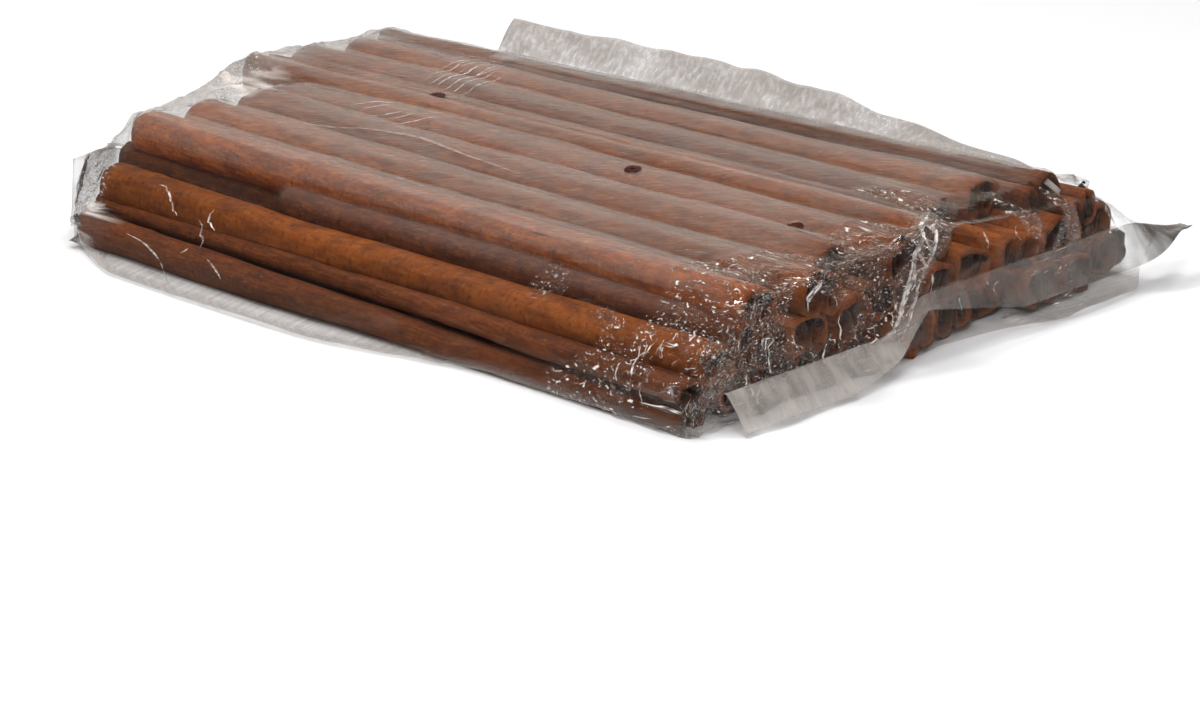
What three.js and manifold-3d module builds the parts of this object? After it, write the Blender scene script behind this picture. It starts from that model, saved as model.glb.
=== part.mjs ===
// A pack of long cinnamon sticks in a sealed bag of clear film, lying flat.
// Units are millimetres. +X runs along the sticks towards the near end, +Y towards the back
// and +Z up. The origin is on the floor, under the middle of the pack.
//
// The sticks are one solid: a core through the middle of the outer sticks, with every stick
// fused on. The film is tight on them over the top, the front and the floor, so it has no
// solid there. Where it stands free, past both ends and along the back, it is a thin sheet.
import * as THREE from 'three';
import { mergeVertices } from 'three/addons/utils/BufferGeometryUtils.js';
import Module from 'manifold-3d';

const wasm = await Module();
wasm.setup();
const { clamp, degToRad, lerp, smoothstep } = THREE.MathUtils;

// ---- driving dimensions -------------------------------------------------------------------

const FAR_END = -144; // where the sticks end, on average
const NEAR_END = 137;
const FAR_BOW = 0.001; // the far ends draw back from the line as the square of the distance
const FAR_BOW_MIDDLE = 18;
const NEAR_SLANT = 0.06; // the near ends reach further towards the back
const STAGGER = 4; // how far an end stands out or back

const FAN_MIDDLE = 1.9; // degrees that a stick in the middle of the pack is turned
const FAN_PER_MM = 0.038; // degrees more for each millimetre towards the back
const FAN_LEAST = -0.4;
const FAN_MOST = 4.8;

const QUILL = { width: 17.2, height: 13.4 }; // a quill is two rolls of bark side by side
const THIN_QUILL = { width: 11.5, height: 11.5 };
const QUILL_SIDES = 12;
const QUILL_STEPS = 6;
const GROOVE_UP = { every: 3, from: 1 }; // the other sticks lie with their smooth backs up
const GROOVE_DEPTH = 0.3; // share of the radius that the groove between the rolls takes
const GROOVE_WIDTH = 0.35; // radians
const HOLLOW = { offset: 0.23, radius: 2.5, depth: 4, sides: 5 }; // offset in stick widths

// Layers from the floor up: the height of the centres, and the first and last of them across
// the pack. The thin sticks round off the long top edges, and the front one is short. A crown
// is how far a layer would have fallen at the pack's edge, as the fourth power of the distance
// from the middle. A layer's first stick can have a size or a height of its own.
const LAYERS = [
  { quill: QUILL, count: 11, z: 7.5, front: -93, back: 87 },
  {
    quill: QUILL,
    count: 10,
    z: 19.8,
    front: -85.5,
    back: 80,
    frontStick: { width: 14.5, height: 12, z: 18.5 },
  },
  {
    quill: THIN_QUILL,
    count: 2,
    z: 27,
    front: -75.5,
    back: 73.5,
    farEnds: [-58, -141],
    nearEnds: [136, 141],
    frontStick: { z: 24.5 },
  },
  {
    quill: QUILL,
    count: 8,
    z: 32.4,
    crown: 12,
    front: -65,
    back: 66,
    farEnds: [-134, -127, -122, -118, -152, -147, -138, -143],
    nearEnds: [132, 139, 126, 140, 134, 122, 121, 131],
  },
];

const CORE_FAR = -116;
const CORE_NEAR = 120;
const CORE_STEPS = 6;
const BASE = { front: -91, back: 85 }; // the flat underside that the pack rests on

const FILM = 0.9; // thickness of the loose film, many times that of the real film
const SEAL = 1.1; // thickness of the fins, where two films are sealed together
const GAP = 0.35; // between the loose film and the sticks
const FILM_FLOOR = 0.6; // height of the film's middle where it lies on the floor
const TOP = 40.2; // height of the film over the top layer
const HALF_WIDTH = 104; // of the pack, film included
const STRIP_HEIGHT = 24; // what the waves in a film take as its height, in millimetres
const WAVES = [ // each a height, a length along the film, and how far it slants across it
  { height: 0.7, length: 32, slant: 57 },
  { height: 0.5, length: 17, slant: 38 },
];

const FAR_OUTLINE = [ // y, x of the film past the far ends, from the front to the back
  [-97, -138], [-60, -147], [-25, -158.5], [5, -166.5], [31, -165], [58, -157.5], [80, -148],
];
// The far film lies on the sticks for lapShare of its length, then reaches out past them, by
// cornerReach less at the pack's corners, and sags by the power slack as it falls.
const FAR_FILM = { lap: 11, lapShare: 0.18, reach: 15, cornerReach: 10, slack: 1, under: 0.06 };
const FAR_FIN = { height: 17, width: 13, droop: 82, sunk: 0.6 };

// The near film stands from the floor to the seam, and laps the films above the seam. The
// seam is low at the front, and folds up to the high line between two places.
const WALL = { x: 145, slant: 0.07, front: -97, back: 107, lap: 3.5 };
const SEAM = { low: 12.5, high: 22, foldFrom: -22, foldTo: -2, earDrop: 6 };
// The fin along the seam narrows at the fold, and ends in a pointed ear behind the pack.
const FIN = { front: -90, back: 121, width: 14, atFold: 5, foldReach: 40, earTip: 5, earLength: 28 };
const FIN_DROOP = { front: 50, back: 64, ear: -12 }; // degrees below level

// The crest keeps its height up to tallTo, a share of its length, and then falls to low.
const CREST = { far: -92, near: 126, root: 38.4, height: 14, low: 3, tallTo: 0.45, lean: 40 };
const CREST_LAP = { width: 5, share: 0.25, past: 1.5 }; // where it lies on the last stick

// ---- making and joining solids ------------------------------------------------------------

const MERGE_WITHIN = 1e-4;
let seed = 11;

// A seeded draw between two numbers, by Park and Miller's rule.
function draw(low, high) {
  seed = (seed * 16807) % 2147483647;
  return low + (high - low) * (seed / 2147483647);
}

function toSolid(geometry) {
  const bare = geometry.clone();
  bare.deleteAttribute('normal');
  bare.deleteAttribute('uv');
  const merged = mergeVertices(bare, MERGE_WITHIN);
  return new wasm.Manifold(new wasm.Mesh({
    numProp: 3,
    vertProperties: new Float32Array(merged.attributes.position.array),
    triVerts: new Uint32Array(merged.index.array),
  }));
}

function toGeometry(solid) {
  const mesh = solid.getMesh();
  const geometry = new THREE.BufferGeometry();
  geometry.setAttribute('position', new THREE.BufferAttribute(mesh.vertProperties, 3));
  geometry.setIndex(new THREE.BufferAttribute(mesh.triVerts, 1));
  geometry.computeVertexNormals();
  return geometry;
}

function join(solids) {
  return solids.reduce((whole, solid) => whole.add(solid));
}

// A shape in the YZ plane, pulled from one x to another and moved sideways as it goes.
function pull(shape, from, to, steps, sideAt, z) {
  const geometry = new THREE.ExtrudeGeometry(shape, { depth: to - from, steps, bevelEnabled: false });
  const position = geometry.attributes.position;
  for (let i = 0; i < position.count; i += 1) {
    const x = from + position.getZ(i);
    position.setXYZ(i, x, sideAt(x, position.getX(i)), z + position.getY(i));
  }
  return toSolid(geometry);
}

// A thin sheet through pointAt(u, v), u and v from 0 to 1. Both faces are split alike.
function sheet(pointAt, columns, rows, thickness) {
  const step = 1e-3; // for the slopes that give the normal
  const plane = new THREE.PlaneGeometry(1, 1, columns, rows);
  const uv = plane.attributes.uv;
  const count = uv.count;
  const points = [];
  for (const side of [0.5, -0.5]) {
    for (let i = 0; i < count; i += 1) {
      const u = uv.getX(i);
      const v = uv.getY(i);
      const alongU = pointAt(u + step, v).sub(pointAt(u - step, v));
      const alongV = pointAt(u, v + step).sub(pointAt(u, v - step));
      const normal = alongU.cross(alongV).normalize();
      points.push(pointAt(u, v).addScaledVector(normal, side * thickness));
    }
  }
  const faces = Array.from(plane.index.array);
  const triangles = [...faces];
  for (let i = 0; i < faces.length; i += 3) {
    triangles.push(faces[i] + count, faces[i + 2] + count, faces[i + 1] + count);
  }
  for (const [a, b] of rimEdges(columns, rows)) {
    triangles.push(b, a, a + count, b, a + count, b + count);
  }
  const geometry = new THREE.BufferGeometry().setFromPoints(points);
  geometry.setIndex(triangles);
  return toSolid(geometry);
}

// The edges round a grid of columns by rows, in the order that its faces turn.
function rimEdges(columns, rows) {
  const wide = columns + 1;
  const last = rows * wide;
  const edges = [];
  for (let i = 0; i < columns; i += 1) {
    edges.push([i + 1, i], [last + i, last + i + 1]);
  }
  for (let j = 0; j < rows; j += 1) {
    edges.push([j * wide, (j + 1) * wide], [(j + 1) * wide + columns, j * wide + columns]);
  }
  return edges;
}

// ---- how the pack is laid out -------------------------------------------------------------

// Where a line that crosses x = 0 at y has moved to at x: the sticks fan out to the back.
function spread(x, y) {
  const turn = clamp(FAN_MIDDLE + FAN_PER_MM * y, FAN_LEAST, FAN_MOST);
  return y + x * Math.tan(degToRad(turn));
}

// The film's height over the pack: level on top, and round towards the front and the back.
function filmTop(y) {
  const share = Math.min(Math.abs(y) / HALF_WIDTH, 1);
  return TOP * Math.sqrt(1 - share ** 6);
}

// ---- the sticks ---------------------------------------------------------------------------

function planStick(layer, index) {
  const y = lerp(layer.front, layer.back, index / (layer.count - 1)) + draw(-0.8, 0.8);
  const farLine = FAR_END + FAR_BOW * (y - FAR_BOW_MIDDLE) ** 2 + draw(-STAGGER, STAGGER);
  const nearLine = NEAR_END + NEAR_SLANT * y + draw(-STAGGER, STAGGER);
  const fall = (layer.crown ?? 0) * (y / HALF_WIDTH) ** 4;
  return {
    y,
    z: layer.z - fall + draw(-0.5, 0.5),
    far: layer.farEnds ? layer.farEnds[index] : farLine,
    near: layer.nearEnds ? layer.nearEnds[index] : nearLine,
    width: layer.quill.width + draw(-0.7, 0.7),
    height: layer.quill.height + draw(-0.5, 0.5),
    roll: degToRad(draw(-16, 16) + (index % GROOVE_UP.every === GROOVE_UP.from ? 0 : 180)),
    bow: draw(-1.2, 1.2),
    ...(index === 0 ? layer.frontStick : {}),
  };
}

// A point of a quill's outline: an ellipse with a groove along its top.
function outlinePoint(stick, angle, grow) {
  const fromGroove = (angle - Math.PI / 2) / GROOVE_WIDTH;
  const pinch = 1 - GROOVE_DEPTH * Math.exp(-fromGroove * fromGroove);
  const across = (stick.width / 2 * pinch + grow) * Math.cos(angle);
  const upward = (stick.height / 2 * pinch + grow) * Math.sin(angle);
  return new THREE.Vector2(across, upward);
}

function pullStick(stick, points, from, to, steps) {
  const turned = points.map((point) => point.clone().rotateAround(new THREE.Vector2(), stick.roll));
  const sideAt = (x, side) => {
    const along = (x - stick.far) / (stick.near - stick.far);
    return spread(x, stick.y) + stick.bow * Math.sin(Math.PI * along) + side;
  };
  return pull(new THREE.Shape(turned), from, to, steps, sideAt, stick.z);
}

function stickSolid(stick, grow) {
  const points = [];
  for (let i = 0; i < QUILL_SIDES; i += 1) {
    points.push(outlinePoint(stick, (i + 0.5) * 2 * Math.PI / QUILL_SIDES, grow));
  }
  return pullStick(stick, points, stick.far - grow, stick.near + grow, QUILL_STEPS);
}

// The open ends of the two rolls, as shallow hollows in the near end.
function hollowsOf(stick) {
  const radius = HOLLOW.radius * stick.height / QUILL.height;
  return [-1, 1].map((side) => {
    const points = [];
    for (let i = 0; i < HOLLOW.sides; i += 1) {
      const angle = (i + 0.3 * side) * 2 * Math.PI / HOLLOW.sides;
      const across = side * HOLLOW.offset * stick.width + radius * Math.cos(angle);
      points.push(new THREE.Vector2(across, radius * Math.sin(angle)));
    }
    return pullStick(stick, points, stick.near - HOLLOW.depth, stick.near + 1, 1);
  });
}

// The core's sides run through the centres of the outer sticks, and its underside is flat.
function coreSolid() {
  const outerLeft = LAYERS.map((layer) => new THREE.Vector2(layer.front, layer.z));
  const outerRight = LAYERS.map((layer) => new THREE.Vector2(layer.back, layer.z));
  const points = [
    new THREE.Vector2(BASE.front, 0),
    new THREE.Vector2(BASE.back, 0),
    ...outerRight,
    ...outerLeft.reverse(),
  ];
  return pull(new THREE.Shape(points), CORE_FAR, CORE_NEAR, CORE_STEPS, spread, 0);
}

const sticks = LAYERS.flatMap((layer) => {
  return Array.from({ length: layer.count }, (_, index) => planStick(layer, index));
});
const bundle = join([coreSolid(), ...sticks.map((stick) => {
  const [left, right] = hollowsOf(stick);
  return stickSolid(stick, 0).subtract(left).subtract(right);
})]);
const clearance = join(sticks.map((stick) => stickSolid(stick, GAP)));

// ---- the loose film -----------------------------------------------------------------------

// Soft waves in a film, at a distance along it and a share of the way across it.
function wave(along, share) {
  const across = share * STRIP_HEIGHT;
  return WAVES.reduce((sum, { height, length, slant }) => {
    return sum + height * Math.sin(2 * Math.PI * (along / length + across / slant));
  }, 0);
}

const farOutline = new THREE.SplineCurve(FAR_OUTLINE.map(([y, x]) => new THREE.Vector2(y, x)));

// The film past the far ends: in over the top layer, out to the outline, down to the floor.
function farFilmPoint(u, v) {
  const outer = farOutline.getPoint(clamp(u, 0, 1));
  const y = outer.x;
  const lap = FAR_FILM.lap * Math.max(0, 1 - v / FAR_FILM.lapShare);
  const turn = Math.PI * Math.max(0, (v - FAR_FILM.lapShare) / (1 - FAR_FILM.lapShare));
  const reach = FAR_FILM.reach - FAR_FILM.cornerReach * Math.abs(y) / HALF_WIDTH;
  const bulge = turn < Math.PI / 2 ? Math.sin(turn) : 1 + FAR_FILM.under * Math.cos(turn);
  const out = reach * bulge + wave(y, v) * Math.sin(turn);
  const rise = ((1 + Math.cos(turn)) / 2) ** FAR_FILM.slack;
  const z = FILM_FLOOR + (filmTop(y) - FILM_FLOOR) * rise;
  return new THREE.Vector3(outer.y + reach + lap - out, y, z);
}

// The fin along the far seam hangs down outside the film.
function farFinPoint(u, v) {
  const outer = farOutline.getPoint(clamp(u, 0, 1));
  const tangent = farOutline.getTangent(clamp(u, 0, 1));
  const droop = degToRad(FAR_FIN.droop);
  const out = FAR_FIN.width * v * Math.cos(droop) + 0.5 * wave(outer.x, v) * v - FAR_FIN.sunk * (1 - v);
  const x = outer.y - Math.abs(tangent.x) * out;
  const y = outer.x + Math.sign(tangent.x) * tangent.y * out;
  return new THREE.Vector3(x, y, FAR_FIN.height - FAR_FIN.width * v * Math.sin(droop));
}

function seamHeight(y) {
  const folded = smoothstep(y, SEAM.foldFrom, SEAM.foldTo);
  const drop = SEAM.earDrop * smoothstep(y, FIN.back - FIN.earLength, FIN.back);
  return lerp(SEAM.low, SEAM.high, folded) - drop;
}

function wallX(y) {
  return WALL.x + WALL.slant * y;
}

// The film over the near ends, from the floor up past the seam.
function nearWallPoint(u, v) {
  const y = lerp(WALL.front, WALL.back, u);
  const high = seamHeight(y) + WALL.lap;
  return new THREE.Vector3(wallX(y) + 0.5 * wave(y, v) * v, y, lerp(FILM_FLOOR, high, v));
}

// The fin along the near seam.
function nearFinPoint(u, v) {
  const y = lerp(FIN.front, FIN.back, u);
  const fromFold = clamp(Math.abs(y - SEAM.foldTo) / FIN.foldReach, 0, 1);
  const ear = smoothstep(y, FIN.back - FIN.earLength, FIN.back);
  const width = lerp(lerp(FIN.atFold, FIN.width, fromFold), FIN.earTip, ear) * v;
  const body = lerp(FIN_DROOP.front, FIN_DROOP.back, smoothstep(y, SEAM.foldFrom, SEAM.foldTo));
  const droop = degToRad(lerp(body, FIN_DROOP.ear, ear));
  const wavy = 0.6 * wave(y, v) * v;
  const x = wallX(y) + width * Math.cos(droop) + wavy * Math.sin(droop);
  return new THREE.Vector3(x, y, seamHeight(y) - width * Math.sin(droop) + wavy * Math.cos(droop));
}

// The crest of spare film along the back: it laps the last stick and leans back.
function crestPoint(u, v) {
  const x = lerp(CREST.far, CREST.near, u);
  const height = lerp(CREST.height, CREST.low, smoothstep(u, CREST.tallTo, 1));
  const lean = degToRad(CREST.lean);
  const root = spread(x, LAYERS.at(-1).back) + CREST_LAP.past;
  const up = clamp((v - CREST_LAP.share) / (1 - CREST_LAP.share), 0, 1) * height;
  const lap = clamp(1 - v / CREST_LAP.share, 0, 1) * CREST_LAP.width;
  const wavy = wave(x, v) * up / CREST.height;
  const y = root - lap + up * Math.sin(lean) + wavy * Math.cos(lean);
  return new THREE.Vector3(x, y, CREST.root + up * Math.cos(lean) - wavy * Math.sin(lean));
}

// Each sheet is split into columns along it and rows across it.
const farWall = sheet(farFilmPoint, 22, 10, FILM);
const farFin = sheet(farFinPoint, 22, 2, SEAL);
const farFilm = farWall.add(farFin).subtract(clearance);
const nearWall = sheet(nearWallPoint, 24, 3, FILM);
const nearFin = sheet(nearFinPoint, 30, 3, SEAL);
const nearFilm = nearWall.add(nearFin).subtract(clearance);
const crest = sheet(crestPoint, 28, 4, FILM).subtract(clearance);

// ---- the scene graph ----------------------------------------------------------------------

const bark = new THREE.MeshStandardMaterial({ color: 0x8a4b27, roughness: 0.75, metalness: 0 });
const film = new THREE.MeshStandardMaterial({
  color: 0xd9dce4,
  roughness: 0.2,
  metalness: 0,
  transparent: true,
  opacity: 0.35,
});

function named(name, solid, material) {
  const mesh = new THREE.Mesh(toGeometry(solid), material);
  mesh.name = name;
  return mesh;
}

const group = new THREE.Group();
group.add(
  named('stick_bundle', bundle, bark.clone()),
  named('far_end_film', farFilm, film.clone()),
  named('near_end_film', nearFilm, film.clone()),
  named('back_film_crest', crest, film.clone()),
);

export default group;
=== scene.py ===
import math

import bmesh
import bpy
import numpy as np
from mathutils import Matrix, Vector, noise
from mathutils.bvhtree import BVHTree


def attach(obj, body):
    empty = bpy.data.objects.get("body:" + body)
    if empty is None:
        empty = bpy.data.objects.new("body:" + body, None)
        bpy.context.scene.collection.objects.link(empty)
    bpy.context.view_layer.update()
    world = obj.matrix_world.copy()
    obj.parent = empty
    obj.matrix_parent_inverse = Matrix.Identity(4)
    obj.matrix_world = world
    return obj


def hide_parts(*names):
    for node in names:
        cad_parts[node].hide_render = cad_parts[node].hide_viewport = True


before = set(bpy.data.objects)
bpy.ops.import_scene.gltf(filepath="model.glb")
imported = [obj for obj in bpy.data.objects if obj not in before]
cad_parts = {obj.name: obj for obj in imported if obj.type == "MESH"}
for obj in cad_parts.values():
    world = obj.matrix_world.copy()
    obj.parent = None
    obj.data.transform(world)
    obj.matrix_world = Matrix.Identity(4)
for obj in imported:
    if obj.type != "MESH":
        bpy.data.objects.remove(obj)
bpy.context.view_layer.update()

MM = 0.001

# ---- the cinnamon sticks ------------------------------------------------------------------
# Long quills of cassia bark, dried and cut to length. Each is one strip of bark whose two long
# edges rolled inwards as it dried, so it is a double scroll with a groove between the rolls.
# They lie side by side in three layers, with two thin ones along the top edges.

FAR_END = -144           # where the sticks end, in mm along the heap
NEAR_END = 137
FAR_BOW = 0.001          # the far ends lie on a bow, the near ends on a slant
FAR_BOW_MIDDLE = 18
NEAR_SLANT = 0.06
STAGGER = 4              # how far the ends stray from those lines
SPREAD = {"middle": 1.9, "per_mm": 0.038, "least": -0.4, "most": 4.8}    # degrees off straight
HALF_WIDTH = 104
LAYERS = [  # from the floor up, in mm; a front stick may differ from the rest of its layer
    {"width": 17.2, "height": 13.4, "count": 11, "z": 7.5, "front": -93, "back": 87},
    {"width": 17.2, "height": 13.4, "count": 10, "z": 19.8, "front": -85.5, "back": 80,
     "front_stick": {"width": 14.5, "height": 12, "z": 18.5}},
    {"width": 11.5, "height": 11.5, "count": 2, "z": 27, "front": -75.5, "back": 73.5,
     "far_ends": [-58, -141], "near_ends": [136, 141], "front_stick": {"z": 24.5}},
    {"width": 17.2, "height": 13.4, "count": 8, "z": 32.4, "front": -65, "back": 66,
     "crown": 12, "far_ends": [-134, -127, -122, -118, -152, -147, -138, -143],
     "near_ends": [132, 139, 126, 140, 134, 122, 121, 131]},
]
BARK = 1.7               # how thick the bark is
draw_state = 11


def draw(low, high):
    """The next seeded random number between two values."""
    global draw_state
    draw_state = (draw_state * 16807) % 2147483647
    return low + (high - low) * (draw_state / 2147483647)


def smoothstep(low, high, value):
    share = np.clip((value - low) / (high - low), 0, 1)
    return share * share * (3 - 2 * share)


def lerp(a, b, share):
    return a + (b - a) * share


def plan_stick(layer, index):
    y = lerp(layer["front"], layer["back"], index / (layer["count"] - 1)) + draw(-0.8, 0.8)
    far_line = FAR_END + FAR_BOW * (y - FAR_BOW_MIDDLE) ** 2 + draw(-STAGGER, STAGGER)
    near_line = NEAR_END + NEAR_SLANT * y + draw(-STAGGER, STAGGER)
    fall = layer.get("crown", 0) * (y / HALF_WIDTH) ** 4
    return {
        "y": y,
        "z": layer["z"] - fall + draw(-0.5, 0.5),
        "far": layer["far_ends"][index] if "far_ends" in layer else far_line,
        "near": layer["near_ends"][index] if "near_ends" in layer else near_line,
        "width": layer["width"] + draw(-0.7, 0.7),
        "height": layer["height"] + draw(-0.5, 0.5),
        "roll": math.radians(draw(-16, 16)) + (0 if index % 3 == 1 else math.pi),
        "bow": draw(-1.2, 1.2),
        **(layer.get("front_stick", {}) if index == 0 else {}),
    }


layers = [[plan_stick(layer, index) for index in range(layer["count"])] for layer in LAYERS]
sticks = [stick for layer in layers for stick in layer]
for number, stick in enumerate(sticks):
    stick["number"] = number
    stick["tone"] = draw(0, 1)                                        # from red to orange
    stick["shade"] = draw(0.7, 1)                                     # how light it is
    stick["twist"] = 0
    stick["split"] = draw(0.43, 0.57)                                 # share of the first roll
    stick["curl"] = [math.radians(draw(60, 230)) for _ in range(2)]   # past half a turn
    stick["slant"] = [draw(-0.12, 0.12) for _ in range(2)]            # of the cut at each end
# Stick (1, 1) gets a dark shade as painted shade for the gap it lies in; (0, 0) and (2, 0) are dark
# partly by their bark, partly as painted shade under the sticks above them.
SEEN_STICKS = [  # layer, stick, tone and shade
    (0, 0, 0.4, 0.6), (1, 0, 1, 0.8), (1, 1, 0.4, 0.38), (2, 0, 0.1, 0.5),
    (3, 0, 0.3, 1.3), (3, 1, 0.7, 0.8), (3, 2, 0.5, 0.7), (3, 3, 0.3, 0.82),
    (3, 4, 0.7, 0.9), (3, 5, 0.2, 0.66), (3, 6, 0.6, 0.85), (3, 7, 0.3, 0.7)]
for layer, index, tone, shade in SEEN_STICKS:
    layers[layer][index].update(tone=tone, shade=shade)
layers[0][0].update(roll=math.radians(30), twist=math.radians(55))   # its groove shows in front
layers[3][1]["roll"] = math.pi                                       # its smooth back is up


def spread(x, y):
    """Where a stick that is at y in the middle of the heap is at x: they fan out a little."""
    turn = np.clip(SPREAD["middle"] + SPREAD["per_mm"] * y, SPREAD["least"], SPREAD["most"])
    return y + x * math.tan(math.radians(turn))


SQUARENESS = 0.85        # 1 for round rolls, less for flattened ones
CURL_STARTS = 2.6        # how far round a roll, in radians, it starts to wind into itself
CURL_PITCH = 3.2         # and how far round it has wound in by the bark's thickness
CURL_LIMIT = 1.3


def section_point(stick, w, x):
    """The bark's outer face, w from -1 to 1 across the strip: its place, its slope and turn."""
    side = 1 if w >= 0 else -1
    share = stick["split"] + 0.03 * math.sin(x / 41 + stick["number"])
    share = share if side > 0 else 1 - share
    curl = stick["curl"][side > 0] * (1 + 0.15 * math.sin(x / 60 + 2 * stick["number"]))
    turn = lerp(-math.pi / 2, math.pi + curl, abs(w))
    half, roll_half = stick["width"] / 2, stick["width"] * share / 2
    apart = smoothstep(-math.pi / 2, 0, turn)
    inward = (BARK + 0.3) * min(max(turn - CURL_STARTS, 0) / CURL_PITCH, CURL_LIMIT)
    across = max(lerp(half, roll_half, apart) - inward, 0.9)
    upward = stick["height"] / 2 - inward
    cos, sin = math.cos(turn), math.sin(turn)
    outward = across * math.copysign(abs(cos) ** SQUARENESS, cos)
    place = side * (lerp(0, half - roll_half, apart) + outward)
    return place, upward * math.copysign(abs(sin) ** SQUARENESS, sin), side * cos, sin, turn


def stick_point(stick, w, x, lift=0.0):
    """A point of a stick's outer face, or that far off it, in mm."""
    side, up, out_side, out_up, _ = section_point(stick, w, x)
    side, up = side + lift * out_side, up + lift * out_up
    along = min(max((x - stick["far"]) / (stick["near"] - stick["far"]), 0), 1)
    roll = stick["roll"] + stick["twist"] * along + 0.12 * math.sin(x / 70 + stick["number"] * 1.7)
    turned_side = side * math.cos(roll) - up * math.sin(roll)
    turned_up = side * math.sin(roll) + up * math.cos(roll)
    bow = stick["bow"] * math.sin(math.pi * along) + 0.5 * math.sin(x / 31 + 3 * stick["number"])
    sway = 0.25 * math.sin(x / 37 + stick["number"])
    return x, spread(x, stick["y"]) + bow + turned_side, stick["z"] + sway + turned_up


def relief(stick, across, x):
    """Low lumps, lengthwise ridges and knots of the bark, in mm."""
    seed = stick["number"] * 7.3
    lumps = noise.noise(Vector((across / 11, x / 30, seed)))
    ridges = noise.noise(Vector((across / 2.8, x / 45, seed + 3)))
    knots = max(noise.noise(Vector((across / 7, x / 12, seed + 9))) - 0.3, 0)
    return 0.6 * lumps + 0.4 * ridges + 1.1 * knots


STRIP = 1.45             # half the strip's width, for each mm of the stick's
UNEVEN_END = 40          # the cut shows over one part in so many of the length


def add_quill(bm, stick, columns, rows):
    """One stick: a grid across and along its strip of bark, rolled up."""
    verts = bmesh.ops.create_grid(bm, x_segments=columns, y_segments=rows, size=1)["verts"]
    tone, shade, depth = (bm.verts.layers.float[name] for name in ("tone", "shade", "depth"))
    bark_map = bm.loops.layers.uv["bark"]
    unrolled = {}
    for vert in verts:
        w, along = vert.co.x, (vert.co.y + 1) / 2
        across = w * stick["width"] * STRIP
        x = lerp(stick["far"], stick["near"], along)
        place, _, _, _, turn = section_point(stick, w, x)
        at_end = max(1 - along * UNEVEN_END, 1 - (1 - along) * UNEVEN_END, 0)
        rough = 0.9 * noise.noise(Vector((across / 1.8, x, 1)))
        cut = at_end * (stick["slant"][int(along > 0.5)] * place + rough)
        vert.co = Vector(stick_point(stick, w, x + cut, relief(stick, across, x))) * MM
        weathered = 1 + 0.35 * noise.noise(Vector((x / 70, w, stick["number"] * 5.1)))
        vert[tone], vert[shade] = stick["tone"], stick["shade"] * weathered
        # how far the strip is wound in, which darkens the bark there: painted shade in the hollow,
        # partly the inner face
        vert[depth] = smoothstep(2.0, 3.6, turn)
        unrolled[vert] = (across * MM + stick["number"] * 0.1, x * MM)
    for face in {face for vert in verts for face in vert.link_faces}:
        face.smooth = True
        for loop in face.loops:
            loop[bark_map].uv = unrolled[loop.vert]


def linear(hex_colour):
    """A colour given as an sRGB hex number, in linear light, with alpha 1."""
    parts = [(hex_colour >> shift & 255) / 255 for shift in (16, 8, 0)]
    return [p / 12.92 if p <= 0.04045 else ((p + 0.055) / 1.055) ** 2.4 for p in parts] + [1]


def add_node(tree, kind, inputs=None, **settings):
    """A node with its settings, and its inputs either set or linked."""
    node = tree.nodes.new(kind)
    for name, value in settings.items():
        setattr(node, name, value)
    for socket, value in (inputs or {}).items():
        if isinstance(value, bpy.types.NodeSocket):
            tree.links.new(value, node.inputs[socket])
        else:
            node.inputs[socket].default_value = value
    return node


def new_material(name):
    material = bpy.data.materials.new(name)
    material.use_nodes = True
    material.node_tree.nodes.clear()
    return material, material.node_tree


# Dried cassia bark: matt, orange-brown, with darker blotches a centimetre or two long, fine streaks
# along the stick and faint bands across it. Wound into the roll it turns near-black brown: partly
# the darker inner face, partly painted shade in the roll's hollow.
BARK_COLOURS = {"dark": 0x3A180A, "middle": 0x7C3E18, "light": 0xA45E24,
                "red": 0x6C3628, "orange": 0x9A5014, "inner_face_and_shade": 0x2A1208}
BARK_GRAIN = {  # across and along the stick, in mm
    "blotches": (2.4, 13), "streaks": (0.6, 6), "bands": (12, 1.8), "specks": (0.9, 1.6)}

bark, tree = new_material("dried cassia bark")
bark_uv = add_node(tree, "ShaderNodeUVMap", uv_map="bark").outputs["UV"]
grain = {}
for name, (across, along) in BARK_GRAIN.items():
    scaled = add_node(tree, "ShaderNodeMapping", {
        "Vector": bark_uv, "Scale": (1 / (across * MM), 1 / (along * MM), 1)})
    grain[name] = add_node(tree, "ShaderNodeTexNoise", {
        "Vector": scaled.outputs["Vector"], "Scale": 1, "Detail": 4, "Roughness": 0.6}).outputs["Fac"]
tone = add_node(tree, "ShaderNodeAttribute", attribute_name="tone").outputs["Fac"]
depth = add_node(tree, "ShaderNodeAttribute", attribute_name="depth").outputs["Fac"]

# What lies over what: which grain, where it starts and is full, how much of it, and its colour.
BARK_COATS = [
    ("streaks", 0.45, 0.65, 0.6, "light"), ("blotches", 0.56, 0.36, 0.5, "dark"),
    ("bands", 0.5, 0.66, 0.22, "dark"), ("specks", 0.54, 0.66, 0.5, "dark")]
hue = add_node(tree, "ShaderNodeMix", {
    0: tone, 6: linear(BARK_COLOURS["red"]), 7: linear(BARK_COLOURS["orange"])},
    data_type="RGBA").outputs[2]
colour = add_node(tree, "ShaderNodeMix", {0: 0.6, 6: linear(BARK_COLOURS["middle"]), 7: hue},
                  data_type="RGBA").outputs[2]
for name, start, full, most, coat in BARK_COATS:
    share = add_node(tree, "ShaderNodeMapRange", {
        "Value": grain[name], "From Min": start, "From Max": full, "To Max": most}).outputs[0]
    colour = add_node(tree, "ShaderNodeMix", {0: share, 6: colour, 7: linear(BARK_COLOURS[coat])},
                      data_type="RGBA").outputs[2]
shade = add_node(tree, "ShaderNodeAttribute", attribute_name="shade").outputs["Fac"]
colour = add_node(tree, "ShaderNodeMix", {0: 1.0, 6: colour, 7: shade},
                  data_type="RGBA", blend_type="MULTIPLY").outputs[2]
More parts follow.
